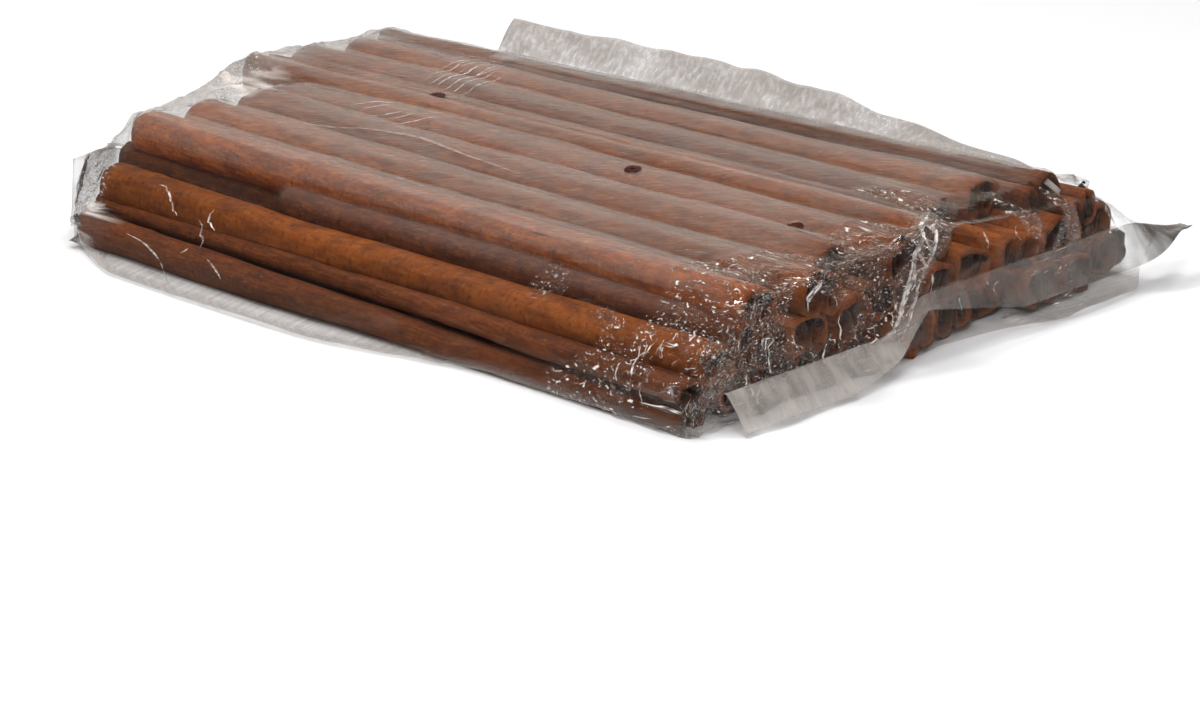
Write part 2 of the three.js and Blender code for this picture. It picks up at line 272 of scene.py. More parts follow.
# wound-in bark is painted near-black: shade in the roll's hollow, partly the inner face's own colour
colour = add_node(tree, "ShaderNodeMix", {0: depth, 6: colour, 7: linear(BARK_COLOURS["inner_face_and_shade"])},
                  data_type="RGBA").outputs[2]
height = add_node(tree, "ShaderNodeMath", {0: grain["streaks"], 1: grain["bands"]}, operation="ADD")
bump = add_node(tree, "ShaderNodeBump", {
    "Height": height.outputs[0], "Strength": 0.6, "Distance": 0.4 * MM})
roughness = add_node(tree, "ShaderNodeMapRange", {
    "Value": grain["blotches"], "From Min": 0.3, "From Max": 0.7, "To Min": 0.62, "To Max": 0.82})
surface = add_node(tree, "ShaderNodeBsdfPrincipled", {
    "Base Color": colour, "Normal": bump.outputs["Normal"], "Specular IOR Level": 0.2,
    "Roughness": roughness.outputs[0]})
add_node(tree, "ShaderNodeOutputMaterial", {"Surface": surface.outputs["BSDF"]})


def finish_piece(name, bm, material, slot, thickness, offset, *nodes):
    """A rigid piece from a mesh that is in place already, with a wall in mm."""
    mesh = bpy.data.meshes.new(name)
    bm.to_mesh(mesh)
    bm.free()
    mesh.materials.append(material)
    piece = bpy.data.objects.new(name, mesh)
    bpy.context.scene.collection.objects.link(piece)
    wall = piece.modifiers.new("wall", "SOLIDIFY")
    wall.thickness = thickness * MM
    wall.offset = offset
    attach(piece, "root")
    if nodes:
        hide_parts(*nodes)


SEEN_ROWS = 72           # rows of faces along a stick, by whether it shows
HIDDEN_ROWS = 30
QUILL_COLUMNS = 44
stick_faces = bmesh.new()    # every stick's outer face, for laying the film on
for name, members, in_view in (
        ("floor_sticks", layers[0], (0, 1, 9, 10)),
        ("middle_sticks", layers[1], (0, 1, 8, 9)),
        ("top_sticks", layers[2] + layers[3], range(10))):
    bm = bmesh.new()
    for value in ("tone", "shade", "depth"):
        bm.verts.layers.float.new(value)
    bm.loops.layers.uv.new("bark")
    for index, stick in enumerate(members):
        add_quill(bm, stick, QUILL_COLUMNS, SEEN_ROWS if index in in_view else HIDDEN_ROWS)
    copy = bpy.data.meshes.new("laid")
    bm.to_mesh(copy)
    stick_faces.from_mesh(copy)
    bpy.data.meshes.remove(copy)
    finish_piece(name, bm, bark, "cinnamon_bark", BARK, -1, "stick_bundle")
laid = BVHTree.FromBMesh(stick_faces)
stick_faces.free()

# ---- the film bag -------------------------------------------------------------------------
# One tube of clear polypropylene film, pulled over the heap and sealed across at both ends. It
# lies tight over the sticks, dips a little between them, and is loose and creased at the ends.

FILM = 0.12          # its wall, twice the real one, in mm
FILM_CLEAR = 0.4     # how far it stays off the sticks
BOTTOM_COLUMNS = 24  # faces round it: along the floor, and over the heap
UPPER_COLUMNS = 180
FAR_ROWS = 28        # faces along it: its far end, its body and its near end
BODY_ROWS = 110
NEAR_ROWS = 32
STATION = 5          # from one worked-out section of it to the next
FAR_OUTLINE = [  # y, x of the far seam, from the front to the back
    (-97, -138), (-60, -147), (-25, -158.5), (5, -166.5), (31, -165), (58, -157.5), (80, -148)]
FAR_SEAM = {"height": 17, "corner_height": 28, "front": -89, "back": 76, "reach": 15,
            "corner_reach": 10, "corner_from": -85, "corner_to": -45}
NEAR_SEAM = {"low": 12.5, "high": 22, "fold_from": -22, "fold_to": -2, "ear_drop": 6,
             "front": -90, "back": 110, "x": 145, "slant": 0.07}
FIN = {"front": -90, "back": 121, "width": 14, "at_fold": 5, "fold_reach": 40,
       "ear_tip": 5, "ear_length": 28, "droop_front": 50, "droop_back": 64, "droop_ear": -12}
far_line = np.polynomial.Polynomial.fit(*np.array(FAR_OUTLINE).T, 4)


def hull(points):
    """The points of a flat cloud that a tight band round it would touch, anticlockwise."""
    ordered = sorted(set(map(tuple, points)))
    chains = []
    for run in (ordered, ordered[::-1]):
        chain = []
        for p in run:
            while len(chain) > 1 and ((chain[-1][0] - chain[-2][0]) * (p[1] - chain[-2][1])
                                      <= (chain[-1][1] - chain[-2][1]) * (p[0] - chain[-2][0])):
                chain.pop()
            chain.append(p)
        chains.append(chain[:-1])
    return chains[0] + chains[1]


def evenly(points, count):
    """A line of points, laid out again at even steps."""
    points = np.array(points)
    steps = np.r_[0, np.cumsum(np.linalg.norm(np.diff(points, axis=0), axis=1))]
    at = np.linspace(0, steps[-1], count + 1)
    return np.stack([np.interp(at, steps, points[:, axis]) for axis in range(points.shape[1])], 1)


OFF_FLOOR = 0.15     # the film's lowest
PAST_END = {"far": 1.1, "near": 1.4, "clear": 2, "inward": 0.4}     # how it falls past a stick's end
RING_POINTS = np.linspace(-0.72, 0.72, 19)                          # round the outside of a stick


def film_section(x):
    """The tight film at one x: along the floor to the front, then up and over to the back."""
    front = (spread(x, layers[0][0]["y"]) - 2, OFF_FLOOR)
    rear = (spread(x, layers[0][-1]["y"]) + 2, OFF_FLOOR)
    cloud = [front, rear]
    for stick in sticks:
        past = (PAST_END["far"] * max(stick["far"] - PAST_END["clear"] - x, 0)
                + PAST_END["near"] * max(x - stick["near"] - PAST_END["clear"], 0))
        ring = [stick_point(stick, w, x, FILM_CLEAR)[1:] for w in RING_POINTS]
        cloud += [(y - PAST_END["inward"] * past * np.sign(y), max(z - past, 0.2)) for y, z in ring]
    loop = hull(cloud)[::-1]
    first = loop.index(front)
    loop = loop[first:] + loop[:first]
    over = loop[:loop.index(rear) + 1]
    return np.vstack([evenly([rear, front], BOTTOM_COLUMNS)[:-1], evenly(over, UPPER_COLUMNS)])


def seam_height(y):
    folded = smoothstep(NEAR_SEAM["fold_from"], NEAR_SEAM["fold_to"], y)
    ear = smoothstep(FIN["back"] - FIN["ear_length"], FIN["back"], y)
    return lerp(NEAR_SEAM["low"], NEAR_SEAM["high"], folded) - NEAR_SEAM["ear_drop"] * ear


def far_seam_height(y):
    from_corner = smoothstep(FAR_SEAM["corner_from"], FAR_SEAM["corner_to"], y)
    return lerp(FAR_SEAM["corner_height"], FAR_SEAM["height"], from_corner)


def near_seam(y):
    return NEAR_SEAM["x"] + NEAR_SEAM["slant"] * y


stations = np.arange(-170, 166, STATION)
sections = np.array([film_section(x) for x in stations])


def on_body(x):
    """The tight film's points at one x for each column."""
    at = np.clip((x - stations[0]) / STATION, 0, len(stations) - 1.001)
    low = at.astype(int)
    columns = np.arange(len(x))
    points = lerp(sections[low, columns], sections[low + 1, columns], (at - low)[:, None])
    return np.c_[x, points]


def to_seam(start, seam, rows):
    """The film from the body's last section to a seam: it goes on outwards, then draws in."""
    pulled = start.copy()
    pulled[:, 0] = lerp(start[:, 0], seam[:, 0], 0.6)
    drawn = lerp(seam, start, 0.58)
    drawn[:, 0] = seam[:, 0]
    t = np.linspace(0, 1, rows + 1)[:, None, None]
    return ((1 - t) ** 3 * start + 3 * t * (1 - t) ** 2 * pulled
            + 3 * t ** 2 * (1 - t) * drawn + t ** 3 * seam)


def share_across(points):
    return (points[:, 1] - points[:, 1].min()) / np.ptp(points[:, 1])


FAR_LOOSE = -140.0       # where the film's width at either end is taken, along the heap
NEAR_LOOSE = 139.0
BODY_NEAR_END = 138      # where its body ends, in the middle

columns = BOTTOM_COLUMNS + UPPER_COLUMNS
far_y = on_body(np.full(columns + 1, FAR_LOOSE))[:, 1]
near_y = on_body(np.full(columns + 1, NEAR_LOOSE))[:, 1]
far_reach = FAR_SEAM["reach"] - FAR_SEAM["corner_reach"] * np.abs(far_y) / HALF_WIDTH
far_x = far_line(np.clip(far_y, FAR_OUTLINE[0][0], FAR_OUTLINE[-1][0])) + far_reach + 2
near_x = BODY_NEAR_END + NEAR_SLANT * near_y
far_start, near_start = on_body(far_x), on_body(near_x)
seam_y = lerp(FAR_SEAM["front"], FAR_SEAM["back"], share_across(far_start))
far_end_line = np.c_[far_line(seam_y), seam_y, far_seam_height(seam_y)]
seam_y = lerp(NEAR_SEAM["front"], NEAR_SEAM["back"], share_across(near_start))
near_end_line = np.c_[near_seam(seam_y), seam_y, seam_height(seam_y)]
far_rows = to_seam(far_start, far_end_line, FAR_ROWS)[::-1]
near_rows = to_seam(near_start, near_end_line, NEAR_ROWS)
body_rows = [on_body(lerp(far_x, near_x, row / BODY_ROWS)) for row in range(1, BODY_ROWS)]
film = np.vstack([far_rows, body_rows, near_rows])     # rows, columns, place in mm


def outward(film):
    """Which way the film faces at each point."""
    along = np.gradient(film, axis=0)
    around = np.gradient(film, axis=1)
    facing = np.cross(along, around)
    return facing / np.maximum(np.linalg.norm(facing, axis=2), 1e-9)[:, :, None]


def eased(field, times):
    """A field over the film, evened out with its neighbours."""
    for _ in range(times):
        field = (field + np.roll(field, 1, 1) + np.roll(field, -1, 1)) / 3
        padded = np.concatenate([field[:1], field, field[-1:]])
        field = (padded[:-2] + padded[1:-1] + padded[2:]) / 3
    return field


def room_under(film, facing, reach=12.0):
    """How far the sticks are below the film, up to a reach, in mm."""
    room = np.full(film.shape[:2], reach)
    for row, column in np.ndindex(room.shape):
        if film[row, column, 2] < 1:
            continue
        away = Vector(facing[row, column])
        start = (Vector(film[row, column]) + away * 4) * MM
        hit = laid.ray_cast(start, -away, (reach + 4) * MM)[3]
        if hit is not None:
            room[row, column] = hit / MM - 4
    return room


# It's kept clear of the sticks' ends, by moving it out along the sticks.
END_CLEAR = 1.2
for stick in sticks:
    for end, sign, rows in ((stick["far"], -1, slice(0, FAR_ROWS + 8)),
                            (stick["near"], 1, slice(-NEAR_ROWS - 8, None))):
        part = film[rows]
        apart = np.hypot((part[:, :, 1] - spread(end, stick["y"])) / (stick["width"] / 2),
                         (part[:, :, 2] - stick["z"]) / (stick["height"] / 2))
        short = (end + sign * END_CLEAR - part[:, :, 0]) * sign
        part[:, :, 0] += sign * np.maximum(short, 0) * smoothstep(1.35, 0.95, apart)

# It dips where there is room under it, less at its ends.
DIP = {"from": 0.6, "share": 0.4, "most": 2, "at_ends": 0.4, "above": 3}
facing = outward(film)
room = room_under(film, facing)
over_sticks = film[:, :, 2] > DIP["above"]
dip = np.clip((eased(room, 2) - DIP["from"]) * DIP["share"], 0, DIP["most"]) * over_sticks
dip[:FAR_ROWS] *= DIP["at_ends"]
dip[-NEAR_ROWS:] *= DIP["at_ends"]
film -= facing * eased(dip, 2)[:, :, None]


def noise_at(place, size, seed):
    """Smooth noise, its lumps of a size in mm along each axis."""
    return noise.noise(Vector((place[0] / size[0], place[1] / size[1], place[2] / size[2] + seed)))


def ridge_at(place, size, seed):
    """A sharp low ridge where the noise crosses nought, from 0 to 1."""
    return max(0, 1 - 3.5 * abs(noise_at(place, size, seed)))


def off_line(film, line):
    """How far the film's points are from a line through given places, in mm."""
    away = np.full(film.shape[:2], np.inf)
    for start, end in zip(np.array(line[:-1], float), np.array(line[1:], float)):
        run = end - start
        share = np.clip((film - start) @ run / (run @ run), 0, 1)
        away = np.minimum(away, np.linalg.norm(film - start - share[:, :, None] * run, axis=2))
    return away


# Places along the folds and soft creases, in mm.
NEAR_FOLD = [(100, 24, 42), (118, 27, 41), (133, 16, 40), (141, 0, 36), (144, -8, 26),
             (144, -16, 12), (142, -22, 2)]
TOP_CREASE = [(-89, -44, 40), (-74, -36, 40.5), (-53, -29, 40.5), (-23, -32, 40.5), (5, -34, 40.5)]
FRONT_CREASES = [[(-104, -103, 14), (-81, -104, 9), (-56, -107, 5)],
                 [(-92, -98, 27), (-84, -101, 20), (-71, -102, 23)],
                 [(-112, -96, 30), (-100, -100, 20), (-96, -104, 6)]]
CRUMPLED = [  # the worst places: x, y, reach and how much
    (136, -84, 26, 0.95), (118, -66, 24, 0.85), (88, -98, 20, 0.55), (62, -84, 12, 0.5),
    (128, -10, 20, 0.8), (140, 60, 22, 0.7), (-134, -92, 14, 0.6)]
HAZY_PATCHES = [  # x, y, z, reach, and how milky
    (-136, -18, 38, 14, 0.25), (-128, -25, 38, 11, 0.25), (-128, -99, 13, 5, 0.5)]
FANS = [  # wrinkles side by side: the first one's x and y, how many, the step to the next, how far
    # each runs along x and y, and how white it is
    (-67, 13, 6, (-4, 1), (-3, 27), 0.4), (-86, -19, 5, (6, -1.2), (9, 12), 0.35),
    (-98, 36, 5, (5, -1), (2, 16), 0.3)]

# How much it's crumpled: most at the near front corner, then at both ends, along the near fold
# and low on the front. Towards the back it's stretched smooth.
CRUMPLE = {"near_x": (70, 140), "near_y": (20, -90), "at_back": 0.35, "far_x": (-118, -150),
           "far_most": 0.6, "front_y": (-92, -100), "front_x": (-20, 90), "front_most": 0.45,
           "fold": (9, 1), "smooth_y": (66, 82), "smoother": 0.8, "patch": (30, 18, 18)}
x, y, z = film[:, :, 0], film[:, :, 1], film[:, :, 2]     # they follow the film as it moves
towards_front = smoothstep(*CRUMPLE["near_y"], y)
near_crumple = smoothstep(*CRUMPLE["near_x"], x) * lerp(CRUMPLE["at_back"], 1, towards_front)
far_crumple = CRUMPLE["far_most"] * smoothstep(*CRUMPLE["far_x"], x)
front_crumple = (CRUMPLE["front_most"] * smoothstep(*CRUMPLE["front_y"], y)
                 * smoothstep(*CRUMPLE["front_x"], x))
near_fold = smoothstep(*CRUMPLE["fold"], off_line(film, NEAR_FOLD))
crumple = np.clip(near_crumple + far_crumple + front_crumple + near_fold, 0, 1)
patches = np.array([[noise_at(place, CRUMPLE["patch"], 70) for place in row] for row in film])
crumple *= smoothstep(-0.35, 0.25, patches + 0.8 * near_fold)
crumple *= 1 - CRUMPLE["smoother"] * smoothstep(*CRUMPLE["smooth_y"], y)
for spot_x, spot_y, reach, much in CRUMPLED:
    spot = much * smoothstep(1, 0.5, np.hypot(x - spot_x, y - spot_y) / reach)
    crumple = np.maximum(crumple, spot * smoothstep(-0.5, 0, patches + spot - 0.6))
FAN_REACH = (20, 8)      # from a fan's middle
TOP_ABOVE = 34
fan = np.zeros(film.shape[:2])
for fan_x, fan_y, count, step, run, _ in FANS:
    off_x = x - fan_x - (count * step[0] + run[0]) / 2
    off_y = y - fan_y - (count * step[1] + run[1]) / 2
    fan = np.maximum(fan, smoothstep(*FAN_REACH, np.hypot(off_x, off_y)) * (z > TOP_ABOVE))

# What stands up where it's smooth, and where it's crumpled: how high, how large, a seed.
STREAKS = [(0.32, (75, 7, 9), 3), (0.2, (40, 3.5, 5), 8)]
SWELLS = (0.35, (45, 16, 16), 5)
RIDGES = [(1.3, (17, 11, 11), 21), (0.8, (8, 6, 6), 33)]
LUMPS = (1.2, (22, 14, 14), 40)
LINE_CREASES = [(2.2, 4, NEAR_FOLD), (0.4, 3, TOP_CREASE)] + [(1.1, 3.5, line) for line in FRONT_CREASES]
SKEW = (0.35, 0.08)      # how the streaks slant over the sticks
crease = np.zeros(film.shape[:2])
for row, column in np.ndindex(crease.shape):
    place, much = film[row, column], crumple[row, column]
    skewed = (place[0] - SKEW[0] * place[1], place[1] + SKEW[1] * place[0], place[2])
    smooth = sum(height * ridge_at(skewed, size, seed) for height, size, seed in STREAKS)
    smooth += SWELLS[0] * noise_at(place, *SWELLS[1:])
    broken = sum(height * ridge_at(place, size, seed) for height, size, seed in RIDGES)
    broken += LUMPS[0] * noise_at(place, *LUMPS[1:])
    crease[row, column] = smooth * (1 - 0.5 * much) + broken * much
for height, reach, line in LINE_CREASES:
    crease += height * smoothstep(reach, 0, off_line(film, line))
crease[z < 0.6] = 0      # it lies flat on the floor
facing = outward(film)
film += facing * crease[:, :, None]

# The front's lower edge lies slack on the floor, and so does the foot of the near end.
SLACK = {"out": 14, "low": (13, 1.5), "far": (-138, -100), "near": (60, -20), "front": (-80, -92)}
NEAR_SLACK = {"out": 11, "low": (17, 3), "end": (136, 147), "from": (0, 60), "to": (108, 90)}
slack = SLACK["out"] * smoothstep(*SLACK["low"], z)
slack *= smoothstep(*SLACK["far"], x) * smoothstep(*SLACK["near"], x)
film[:, :, 1] -= slack * smoothstep(*SLACK["front"], y)
near_slack = smoothstep(*NEAR_SLACK["end"], x) * smoothstep(*NEAR_SLACK["low"], z)
near_slack *= smoothstep(*NEAR_SLACK["from"], y) * smoothstep(*NEAR_SLACK["to"], y)
film[:, :, 0] += NEAR_SLACK["out"] * near_slack
film[:, :, 2] = np.maximum(z, OFF_FLOOR)

# Where it would cut into a stick, it's pushed out again.
LEAST_ROOM = 0.35
facing = outward(film)
room = room_under(film, facing)
push = np.clip(LEAST_ROOM - room, 0, 3)
for axis in (0, 1):
    push = np.maximum.reduce([push, np.roll(push, 1, axis), np.roll(push, -1, axis)])
film += facing * push[:, :, None]
lift = smoothstep(0.4, 7, room)      # from lying on a stick to well off it


def film_grid(place, layers_of, uv_size):
    """A sheet of film as a grid over rows and columns of places in mm."""
    bm = bmesh.new()
    rows, columns = place.shape[0] - 1, place.shape[1] - 1
    values = {name: bm.verts.layers.float.new(name) for name in layers_of}
    sheet_map = bm.loops.layers.uv.new("film")
    verts = bmesh.ops.create_grid(bm, x_segments=rows, y_segments=columns, size=1)["verts"]
    unrolled = {}
    for vert in verts:
        row, column = round((vert.co.x + 1) / 2 * rows), round((vert.co.y + 1) / 2 * columns)
        vert.co = Vector(place[row, column]) * MM
        for name, layer in values.items():
            vert[layer] = layers_of[name][row, column]
        unrolled[vert] = (row / rows * uv_size[0] * MM, column / columns * uv_size[1] * MM)
    for face in bm.faces:
        face.smooth = True
        for loop in face.loops:
            loop[sheet_map].uv = unrolled[loop.vert]
    return bm


# Clear polypropylene film: glossy, almost colourless, and a little milky where it is creased.
# What it mirrors grows towards a glancing view, so the top is veiled and the front is clear.
# Where it is crumpled, short bright lines lie on its sharpest creases: partly film whitened by creasing,
# partly painted glints.
FILM_COLOURS = {"dull": 0x504A46, "mirror": 0xFFF6EE, "whitened_glints": 0xFFF6F0}
FILM_MIRROR = {"smooth": 0.003, "creased": 0.006, "edge_on": 0.44, "power": 4}
FILM_WAVES = [  # from which kind up, how far they are turned, and their size in mm
    (0, 50, (18, 1.5)), (0.5, 75, (24, 2.4)), (1.5, 0, (2.2, 3.4)), (2.5, 0, (5, 26))]
FILM_BREAKS = 1.3        # breaks of a bright crease line for each wave
FILM_CRINKLE = 0.6       # depth of the fine creases, in mm

clear_film, tree = new_material("clear polypropylene film")
film_uv = add_node(tree, "ShaderNodeUVMap", uv_map="film").outputs["UV"]
value = {key: add_node(tree, "ShaderNodeAttribute", attribute_name=key).outputs["Fac"]
         for key in ("haze", "milk", "kind", "crinkled")}
place = None
for least, turn, (along, across) in FILM_WAVES:
    laid_out = add_node(tree, "ShaderNodeMapping", {
        "Vector": film_uv, "Rotation": (0, 0, math.radians(turn)),
        "Scale": (along * MM, across * MM, 1)}, vector_type="TEXTURE").outputs["Vector"]
    if place is None:
        place = laid_out
    else:
        over = add_node(tree, "ShaderNodeMath", {0: value["kind"], 1: least},
                        operation="GREATER_THAN").outputs[0]
        place = add_node(tree, "ShaderNodeMix", {0: over, 4: place, 5: laid_out},
                         data_type="VECTOR").outputs[1]
waves = add_node(tree, "ShaderNodeTexNoise", {
    "Vector": place, "Scale": 1, "Detail": 1.5}).outputs["Fac"]
from_half = add_node(tree, "ShaderNodeMath", {0: waves, 1: 0.5}, operation="SUBTRACT").outputs[0]
off_ridge = add_node(tree, "ShaderNodeMath", {0: from_half}, operation="ABSOLUTE").outputs[0]
ridge = add_node(tree, "ShaderNodeMapRange", {
    "Value": off_ridge, "From Min": 0, "From Max": 0.25, "To Min": 1, "To Max": 0}).outputs[0]
bump = add_node(tree, "ShaderNodeBump", {
    "Height": ridge, "Distance": FILM_CRINKLE * MM, "Strength": value["crinkled"]}).outputs["Normal"]
edge_on = add_node(tree, "ShaderNodeLayerWeight", {"Blend": 0.5, "Normal": bump}).outputs["Facing"]
power = add_node(tree, "ShaderNodeMath", {0: edge_on, 1: FILM_MIRROR["power"]},
                 operation="POWER").outputs[0]
face_on = add_node(tree, "ShaderNodeMapRange", {
    "Value": value["crinkled"], "From Min": 0.3, "From Max": 1,
    "To Min": FILM_MIRROR["smooth"], "To Max": FILM_MIRROR["creased"]}).outputs[0]
mirror = add_node(tree, "ShaderNodeMapRange", {
    "Value": power, "To Min": face_on, "To Max": FILM_MIRROR["edge_on"]}).outputs[0]
broken = add_node(tree, "ShaderNodeTexNoise", {
    "Vector": place, "Scale": FILM_BREAKS, "Detail": 1}).outputs["Fac"]
# Short bright lines on the sharpest ridges where it's crumpled: partly whitened film, partly painted
# glints.
sharpest = add_node(tree, "ShaderNodeMapRange", {
    "Value": off_ridge, "From Min": 0.05, "From Max": 0.01}).outputs[0]
lasting = add_node(tree, "ShaderNodeMapRange", {
    "Value": broken, "From Min": 0.53, "From Max": 0.66}).outputs[0]
crumpled = add_node(tree, "ShaderNodeMapRange", {
    "Value": value["crinkled"], "From Min": 0.45, "From Max": 0.75}).outputs[0]
line = add_node(tree, "ShaderNodeMath", {0: sharpest, 1: lasting}, operation="MULTIPLY").outputs[0]
white = add_node(tree, "ShaderNodeMath", {0: line, 1: crumpled}, operation="MULTIPLY").outputs[0]
smudge = add_node(tree, "ShaderNodeMapRange", {
    "Value": broken, "From Min": 0.35, "From Max": 0.65, "To Min": 0.75, "To Max": 1.25}).outputs[0]
smudged = add_node(tree, "ShaderNodeMath", {0: value["haze"], 1: smudge},
                   operation="MULTIPLY").outputs[0]
milky = add_node(tree, "ShaderNodeMath", {0: smudged, 1: white}, operation="MAXIMUM").outputs[0]
alpha = add_node(tree, "ShaderNodeMath", {0: milky, 1: mirror}, operation="ADD",
                 use_clamp=True).outputs[0]
metal = add_node(tree, "ShaderNodeMath", {0: mirror, 1: alpha}, operation="DIVIDE").outputs[0]
whiteness = add_node(tree, "ShaderNodeMath", {0: value["milk"], 1: white},
                     operation="MAXIMUM").outputs[0]
milk = add_node(tree, "ShaderNodeMix", {
    0: whiteness, 6: linear(FILM_COLOURS["dull"]), 7: linear(FILM_COLOURS["whitened_glints"])},
    data_type="RGBA").outputs[2]
colour = add_node(tree, "ShaderNodeMix", {
    0: metal, 6: milk, 7: linear(FILM_COLOURS["mirror"])}, data_type="RGBA").outputs[2]
surface = add_node(tree, "ShaderNodeBsdfPrincipled", {
    "Base Color": colour, "Metallic": metal, "Roughness": 0.06, "Normal": bump,
    "Alpha": alpha, "Specular IOR Level": 0})
add_node(tree, "ShaderNodeOutputMaterial", {"Surface": surface.outputs["BSDF"]})


def cloudy(place, least, most):
    """A patchy milkiness over a sheet of film."""
    share = np.zeros(place.shape[:2])
    for row, column in np.ndindex(share.shape):
        share[row, column] = (0.5 + 0.7 * noise_at(place[row, column], (24, 12, 12), 50)
                              + 0.4 * noise_at(place[row, column], (6, 4, 4), 60))
    return least + (most - least) * np.clip(share, 0, 1)


# How milky it is, in each of its parts.
HAZE = {"off_sticks": (0.001, 0.006), "loose": (0.12, 0.28), "front_foot": 0.24, "top": 0.085,
        "near_fold": 0.16, "near_foot": 0.14}
MILK = 0.32
loose = smoothstep(-125, -150, x)
kind = np.where(crumple > 0.35, 2.0, np.where(fan > 0.5, 1.0, 0.0))
crinkled = np.maximum.reduce([
    smoothstep(0.35, 0.6, crumple), 0.42 * smoothstep(0.5, 0.8, fan),
    0.32 * smoothstep(0.35, 0.2, crumple) * smoothstep(0.5, 0.3, fan)])
haze = lift * cloudy(film, *HAZE["off_sticks"]) + loose * cloudy(film, *HAZE["loose"])
haze += HAZE["front_foot"] * smoothstep(5, 1.5, z) * smoothstep(-97, -100, y)
haze += HAZE["top"] * smoothstep(27, 35, z) * smoothstep(135, 105, x) * smoothstep(3, 0.8, room)
haze += HAZE["near_fold"] * smoothstep(5, 2, off_line(film, NEAR_FOLD[2:]))
haze += HAZE["near_foot"] * near_slack
milk = np.full(film.shape[:2], MILK)
ragged = np.array([[noise_at(place, (16, 5, 5), 110) for place in row] for row in film])
for *centre, reach, much in HAZY_PATCHES:
    near_patch = smoothstep(1, 0.6, np.linalg.norm(film - centre, axis=2) / reach + 0.9 * ragged)
    haze += near_patch * cloudy(film, 0.3 * much, much)
    milk = np.maximum(milk, near_patch)
FILM_LENGTH = 310
around = np.linalg.norm(np.diff(film[len(film) // 2], axis=0), axis=1).sum()
layers_of = {"haze": haze, "milk": milk, "kind": kind, "crinkled": crinkled}
bm = film_grid(film, layers_of, (FILM_LENGTH, around))
sheet = BVHTree.FromBMesh(bm)

VENTS = [(-72, 9), (31, -9), (104, -16)]   # punched holes in the top, x and y in mm
VENT = 2.8                                 # their radius


def from_vent(place, middle):
    """How far a place on the top is from the middle of a hole, in metres."""
    return (Vector(place[:2]) - middle).length if place[2] > TOP_ABOVE * MM else 1


for centre in VENTS:
    middle = Vector(centre) * MM
    punched = [face for face in bm.faces
               if from_vent(face.calc_center_median(), middle) < VENT * MM]
    bmesh.ops.delete(bm, geom=punched, context="FACES")
    for vert in bm.verts:
        if vert.is_boundary and from_vent(vert.co, middle) < 2 * VENT * MM:
            away = Vector(vert.co[:2]) - middle
            vert.co[:2] = middle + away.normalized() * VENT * MM
bmesh.ops.remove_doubles(bm, verts=bm.verts, dist=0.01 * MM)
finish_piece("film_bag", bm, clear_film, "clear_film", FILM, -1)

# Bright lines along the creases: polypropylene that was folded sharply scatters light there, so a
# crease whitens into a fine white line, fainter where the fold was softer; the strips are partly
# painted glints as well.
crease_glint_film, tree = new_material("whitened film with painted glints")
places = add_node(tree, "ShaderNodeTexCoord").outputs["Object"]
patchy = add_node(tree, "ShaderNodeTexNoise", {
    "Vector": places, "Scale": 1 / (2.2 * MM), "Detail": 2}).outputs["Fac"]
strength = add_node(tree, "ShaderNodeAttribute", attribute_name="strength").outputs["Fac"]
solid = add_node(tree, "ShaderNodeMapRange", {
    "Value": patchy, "From Min": 0.35, "From Max": 0.62, "To Min": 0.1, "To Max": 1}).outputs[0]
opacity = add_node(tree, "ShaderNodeMath", {0: solid, 1: strength}, operation="MULTIPLY").outputs[0]
surface = add_node(tree, "ShaderNodeBsdfPrincipled", {
    "Base Color": linear(FILM_COLOURS["whitened_glints"]), "Roughness": 0.3, "Alpha": opacity})
add_node(tree, "ShaderNodeOutputMaterial", {"Surface": surface.outputs["BSDF"]})

CREASE_STEPS = 12
CREASE_PROUD = 0.15      # how far it lies off the film, and how far it wavers, in mm
CREASE_WAVER = 0.3


def add_crease(bm, line, width, how_white):
    """A narrow strip laid on the film along a line of places in mm, thin at both ends."""
    for _ in range(2):      # rounds the line's corners
        cut = [lerp(np.array(a), np.array(b), share) for a, b in zip(line, line[1:])
               for share in (0.25, 0.75)]
        line = [line[0], *cut, line[-1]]
    places = evenly(line, CREASE_STEPS)
    runs = np.gradient(places, axis=0)
    strength = bm.verts.layers.float["strength"]
    for vert in bmesh.ops.create_grid(bm, x_segments=CREASE_STEPS, y_segments=1, size=1)["verts"]:
        share, side = (vert.co.x + 1) / 2, vert.co.y
        step = round(share * CREASE_STEPS)
        waver = Vector((0, CREASE_WAVER * noise_at(places[step], (5, 5, 5), 90), 0))
        place, facing, _, _ = sheet.find_nearest((Vector(places[step]) + waver) * MM)
        half = width / 2 * math.sin(math.pi * lerp(0.06, 0.94, share))
        across = facing.cross(Vector(runs[step])).normalized()
        vert.co = place + (facing * CREASE_PROUD + across * half * side) * MM
        vert[strength] = how_white


FRONT_LINES = [  # how white each crease on the front is, and its places
    (0.3, [(-107, -104, 14.5), (-97, -104, 10.6), (-88, -106, 6.5), (-80, -108, 2.5)]),
    (0.25, [(-81, -103, 22), (-75, -103, 18)]),
    (0.3, [(-69, -104, 13.5), (-63, -105, 9), (-57, -107, 5)]),
    (0.8, [(-76.3, -101, 28), (-77.6, -102, 25.3), (-76, -102, 22.5), (-73.5, -103, 21)]),
    (0.4, [(-104, -97, 38), (-98.5, -99, 30.5), (-95.5, -101, 25.4), (-91.5, -102, 21)]),
    (0.7, [(-79.6, -103, 16.3), (-80.2, -104, 11.7)])]
FOLD_CREASES = 16            # short creases along the near fold
FOLD_STEPS = 20
CORNER_CREASES = 26          # short upright creases round the near front corner
END_CREASES = 22             # and over the rest of the near end

